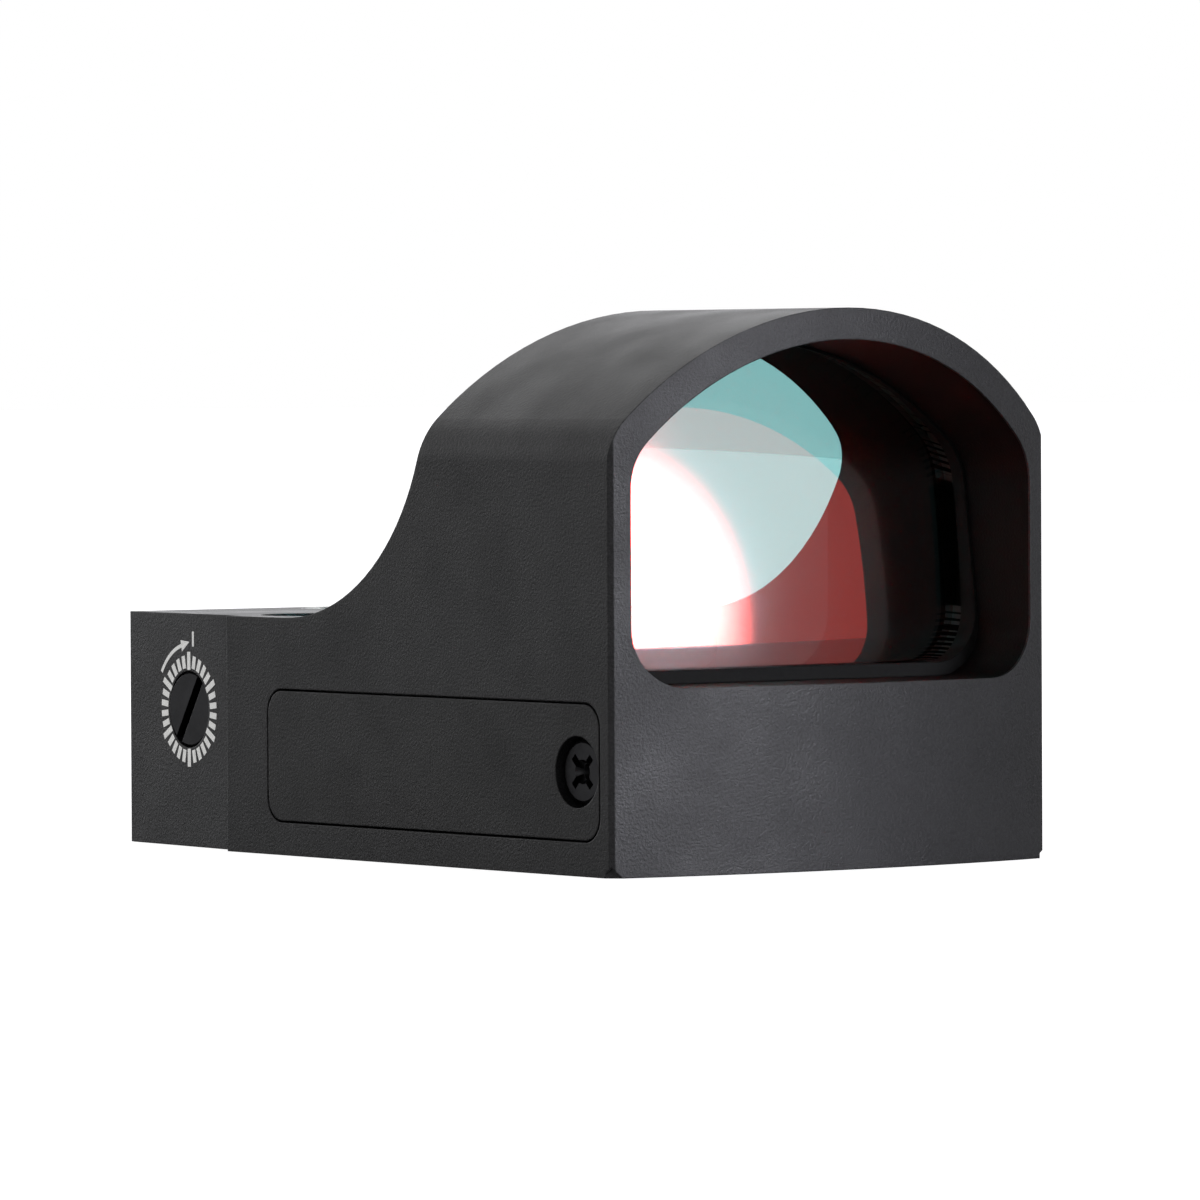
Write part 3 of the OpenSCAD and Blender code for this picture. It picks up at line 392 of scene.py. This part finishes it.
FINISHES = {
    "housing": ALLOY, "lens_front_glass": COATED, "lens_rear_glass": GLASS,
    "lens_seal": SEAL, "emitter_window": PANE, "base_cover": DOOR, "base_gasket": SEAL,
    "base_screws": BLACK_STEEL, "battery_door": DOOR, "battery_tray": POLYMER,
    "door_gasket": SEAL, "door_screw": BLACK_STEEL, "coin_cell": CELL,
    "positive_contact": GOLD, "negative_contact": GOLD, "circuit_board": BOARD,
    "controller_chip": CHIP, "board_components": CERAMIC, "switch_board": BOARD,
    "up_button": RUBBER, "down_button": RUBBER, "up_switch": BARE_STEEL,
    "down_switch": BARE_STEEL, "up_plunger": CHIP, "down_plunger": CHIP,
    "windage_screw": BLACK_STEEL, "windage_o_ring": SEAL, "windage_click_ball": BARE_STEEL,
    "windage_click_spring": SPRING, "windage_clip": SPRING, "windage_return_spring": SPRING,
    "elevation_screw": BLACK_STEEL, "elevation_o_ring": SEAL,
    "elevation_click_ball": BARE_STEEL, "elevation_click_spring": SPRING,
    "elevation_clip": SPRING, "elevation_nut": BRASS, "elevation_return_spring": SPRING,
    "windage_carriage": BRASS, "guide_pins": BARE_STEEL, "emitter_block": DOOR,
    "emitter_led": LED, "led_flex": FLEX,
}
for name, finish in FINISHES.items():
    nodes[name].data.materials.clear()
    nodes[name].data.materials.append(finish)


# ---- dial marks ----

def extrude_outline(bm, outline, low, high, place):
    """A thin prism from an outline of (x, y) points, put in place by a matrix."""
    rings = [[bm.verts.new(place @ Vector((x, y, z))) for x, y in outline]
             for z in (low, high)]
    count = len(outline)
    bm.faces.new(rings[0])
    bm.faces.new(rings[1])
    for i in range(count):
        j = (i + 1) % count
        bm.faces.new((rings[0][i], rings[0][j], rings[1][j], rings[1][i]))


def ring_part(radius, half_width, start, end, steps):
    """Outline of part of a ring, from angle start to end in degrees."""
    angles = [math.radians(start + (end - start) * i / steps) for i in range(steps + 1)]
    outer = [((radius + half_width) * math.cos(a), (radius + half_width) * math.sin(a))
             for a in angles]
    inner = [((radius - half_width) * math.cos(a), (radius - half_width) * math.sin(a))
             for a in reversed(angles)]
    return outer + inner


PAINT_LOW = -0.02 * MM  # the marks' depth in the face, and how far they stand proud
PAINT_HIGH = 0.012 * MM
# all marks are placed from the adjuster's axis
TICKS = 30
TICK_IN = 2.2 * MM
TICK_OUT = 2.88 * MM
LONG_TICK_IN = 2.1 * MM
LONG_TICK_OUT = 3.06 * MM
TICK_HALF = 0.16 * MM  # half of a tick's width
ARROW_R = 3.45 * MM
ARROW_START = 146  # degrees, anticlockwise from the right
ARROW_END = 103
ARROW_HALF = 0.1 * MM
HEAD_HALF = 0.31 * MM
HEAD_TIP = (0.04 * MM, -0.86 * MM)
BAR_X = 0.45 * MM  # the plain bar past the arrow's head
BAR_HALF = 0.09 * MM
BAR_LOW = 3.35 * MM
BAR_HIGH = 4.15 * MM


def dial(bm, place):
    """Ticks round an adjuster, a clockwise arrow at its upper left, and a plain end bar."""
    for k in range(TICKS):
        turn = Matrix.Rotation(math.radians(90 - 360 * k / TICKS), 4, "Z")
        inner, outer = (LONG_TICK_IN, LONG_TICK_OUT) if k % 5 == 0 else (TICK_IN, TICK_OUT)
        outline = [(inner, -TICK_HALF), (outer, -TICK_HALF),
                   (outer, TICK_HALF), (inner, TICK_HALF)]
        extrude_outline(bm, outline, PAINT_LOW, PAINT_HIGH, place @ turn)
    shaft = ring_part(ARROW_R, ARROW_HALF, ARROW_START, ARROW_END, 16)
    extrude_outline(bm, shaft, PAINT_LOW, PAINT_HIGH, place)
    tip = Matrix.Rotation(math.radians(ARROW_END), 4, "Z") @ Matrix.Translation((ARROW_R, 0, 0))
    head = [(-HEAD_HALF, 0), (HEAD_HALF, 0), HEAD_TIP]
    extrude_outline(bm, head, PAINT_LOW, PAINT_HIGH, place @ tip)
    left, right = BAR_X - BAR_HALF, BAR_X + BAR_HALF
    bar = [(left, BAR_LOW), (right, BAR_LOW), (right, BAR_HIGH), (left, BAR_HIGH)]
    extrude_outline(bm, bar, PAINT_LOW, PAINT_HIGH, place)


def face_matrix(origin, right, up):
    """Places a drawing on a face: its x axis along right, its y axis along up."""
    x = Vector(right).normalized()
    y = (Vector(up) - Vector(up).dot(x) * x).normalized()
    z = x.cross(y)
    return Matrix((
        (x.x, y.x, z.x, origin[0]),
        (x.y, y.y, z.y, origin[1]),
        (x.z, y.z, z.z, origin[2]),
        (0, 0, 0, 1),
    ))


def dial_marks(name, place):
    """The white marks of one dial: a piece of its own that rides on the housing."""
    mesh = bpy.data.meshes.new(name)
    bm = bmesh.new()
    dial(bm, place)
    bmesh.ops.recalc_face_normals(bm, faces=bm.faces)
    bm.to_mesh(mesh)
    bm.free()
    mesh.materials.append(WHITE)
    piece = bpy.data.objects.new(name, mesh)
    bpy.context.scene.collection.objects.link(piece)
    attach(piece, "housing")


def centre_of(node):
    low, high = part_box(node)
    return (low + high) / 2


windage = centre_of("windage_screw")
side_x = REAR_STEP - BODY_HALF + REAR_SLOPE * (windage.y - REAR_START_Y)
dial_marks("windage_dial_marks", face_matrix((side_x, windage.y, windage.z),
                                             (-REAR_SLOPE, -1, 0), (0, 0, 1)))

elevation = centre_of("elevation_screw")
dial_marks("elevation_dial_marks", face_matrix((elevation.x, elevation.y, DECK_Z),
                                               (-1, 0, 0), (0, -1, 0)))


# ---- stage, light and camera ----

def floor():
    """A lit white sheet that the object stands on; in reflections it is a duller surface."""
    mesh = bpy.data.meshes.new("floor")
    reach = 6.0
    mesh.from_pydata([(-reach, -reach, 0), (reach, -reach, 0), (reach, reach, 0),
                      (-reach, reach, 0)], [], [(0, 1, 2, 3)])
    s = Shader("pale_floor")
    seen = s.principled(Base_Color=(0.95, 0.95, 0.95, 1), Roughness=0.8,
                        Specular_IOR_Level=0.0, Emission_Color=(1, 1, 1, 1),
                        Emission_Strength=0.88)
    mirrored = s.principled(Base_Color=(0.4, 0.4, 0.4, 1), Roughness=0.8,
                            Specular_IOR_Level=0.0)
    mesh.materials.append(s.finish(s.mix(s.seen_straight(), mirrored, seen)))
    piece = bpy.data.objects.new("floor", mesh)
    bpy.context.scene.collection.objects.link(piece)
    piece.location.z = -0.02 * MM


def towards(turn, lift):
    """Unit direction: turn in degrees from -Y towards +X, lift in degrees."""
    t, e = math.radians(turn), math.radians(lift)
    return (math.sin(t) * math.cos(e), -math.cos(t) * math.cos(e), math.sin(e))


# soft lights in front of the studio's walls: turn, lift, half-angle of full strength,
# half-angle where it ends, strength
LIGHTS = [
    (19, 2, 7.5, 18, 13.5),
    (165, 6, 10, 50, 1.0),
    (105, 35, 15, 40, 0.6),
    (180, 50, 10, 30, 0.5),
]
AMBIENT = 0.02
WALLS_LIGHT = 0.92
CEILING_LIGHT = 0.1
# the front wall: evenly lit up to one turn, dim from another, with the light of each
WALL_BRIGHT = (14.0, 1.2)
WALL_DIM = (31.0, 0.3)
WALL_MIDDLE = 20
WALL_TOP = 20.5  # lift at which it ends against the dark ceiling, taken at this turn:
WALL_TOP_TURN = 16
WALL_TOP_BLUR = 0.006
WALL_TILT = 8.0  # how much that line rises towards the right


def studio_world():
    """A lit room round the object: pale walls, a dark ceiling, one bright panel ahead and
    weak lights behind. The camera itself sees plain white."""
    s = Shader("studio", "worlds")
    direction = s.node("ShaderNodeTexCoord").outputs["Generated"]
    height = s.dot(direction, (0, 0, 1))
    walls = s.ramp(height, WALLS_LIGHT, CEILING_LIGHT, 0.1, 0.5, "SMOOTHSTEP")

    bright_turn, bright = WALL_BRIGHT
    dim_turn, dim = WALL_DIM
    front = s.ramp(s.dot(direction, towards(bright_turn - 90, 0)), dim, bright,
                   -math.sin(math.radians(dim_turn - bright_turn)), 0.0, "SMOOTHSTEP")
    tilt = math.radians(WALL_TILT)
    edge_normal = Vector((-math.sin(tilt), 0, math.cos(tilt)))
    top = edge_normal.dot(Vector(towards(WALL_TOP_TURN, WALL_TOP)))
    front = s.math("MULTIPLY", front, s.ramp(s.dot(direction, edge_normal), 0.0, 1.0,
                                             top + WALL_TOP_BLUR, top - WALL_TOP_BLUR))
    ahead = s.ramp(s.dot(direction, towards(WALL_MIDDLE, 0)), 0.0, 1.0, 0.5, 0.75,
                   "SMOOTHSTEP")
    total = s.math("ADD", s.math("MULTIPLY", front, ahead),
                   s.math("MULTIPLY", walls, s.math("SUBTRACT", 1.0, ahead)))
    for turn, lift, full, none, strength in LIGHTS:
        spread = s.ramp(s.dot(direction, towards(turn, lift)), 0.0, strength,
                        math.cos(math.radians(none)), math.cos(math.radians(full)),
                        "SMOOTHERSTEP")
        total = s.math("ADD", spread, total)

    lit = s.node("ShaderNodeBackground")
    s.link(s.math("MAXIMUM", total, AMBIENT), lit.inputs["Strength"])
    s.link(s.blend_colour(s.ramp(total, 0, 1, 1.0, 3.0), (1, 1, 1, 1), (0.96, 0.965, 1.05, 1)),
           lit.inputs["Color"])
    seen = s.node("ShaderNodeBackground", Color=(1, 1, 1, 1), Strength=1.0)
    shown = s.mix(s.seen_straight(), lit.outputs["Background"], seen.outputs["Background"])
    bpy.context.scene.world = s.finish(shown)


def camera():
    """Stands where the photograph was taken from: found from the foot of the near corner."""
    forward = Vector((math.sin(VIEW_TURN) * math.cos(VIEW_DOWN),
                      math.cos(VIEW_TURN) * math.cos(VIEW_DOWN), -math.sin(VIEW_DOWN)))
    level = Vector((math.cos(VIEW_TURN), -math.sin(VIEW_TURN), 0))
    upright = level.cross(forward)
    right = level * math.cos(VIEW_ROLL) + upright * math.sin(VIEW_ROLL)
    up = upright * math.cos(VIEW_ROLL) - level * math.sin(VIEW_ROLL)
    corner = Vector((cad_box[0][0], cad_box[0][1] + FRONT_BOW, 0))
    eye = corner - forward * VIEW_DISTANCE - right * CORNER_RIGHT + up * CORNER_DOWN
    data = bpy.data.cameras.new("camera")
    data.lens = FOCAL
    data.sensor_width = SENSOR
    data.clip_start = 0.01
    data.clip_end = 50
    made = bpy.data.objects.new("camera", data)
    made.matrix_world = Matrix((
        (right.x, up.x, -forward.x, eye.x),
        (right.y, up.y, -forward.y, eye.y),
        (right.z, up.z, -forward.z, eye.z),
        (0, 0, 0, 1),
    ))
    bpy.context.scene.collection.objects.link(made)
    bpy.context.scene.camera = made


floor()
studio_world()
camera()
bpy.context.scene.view_settings.view_transform = "Standard"
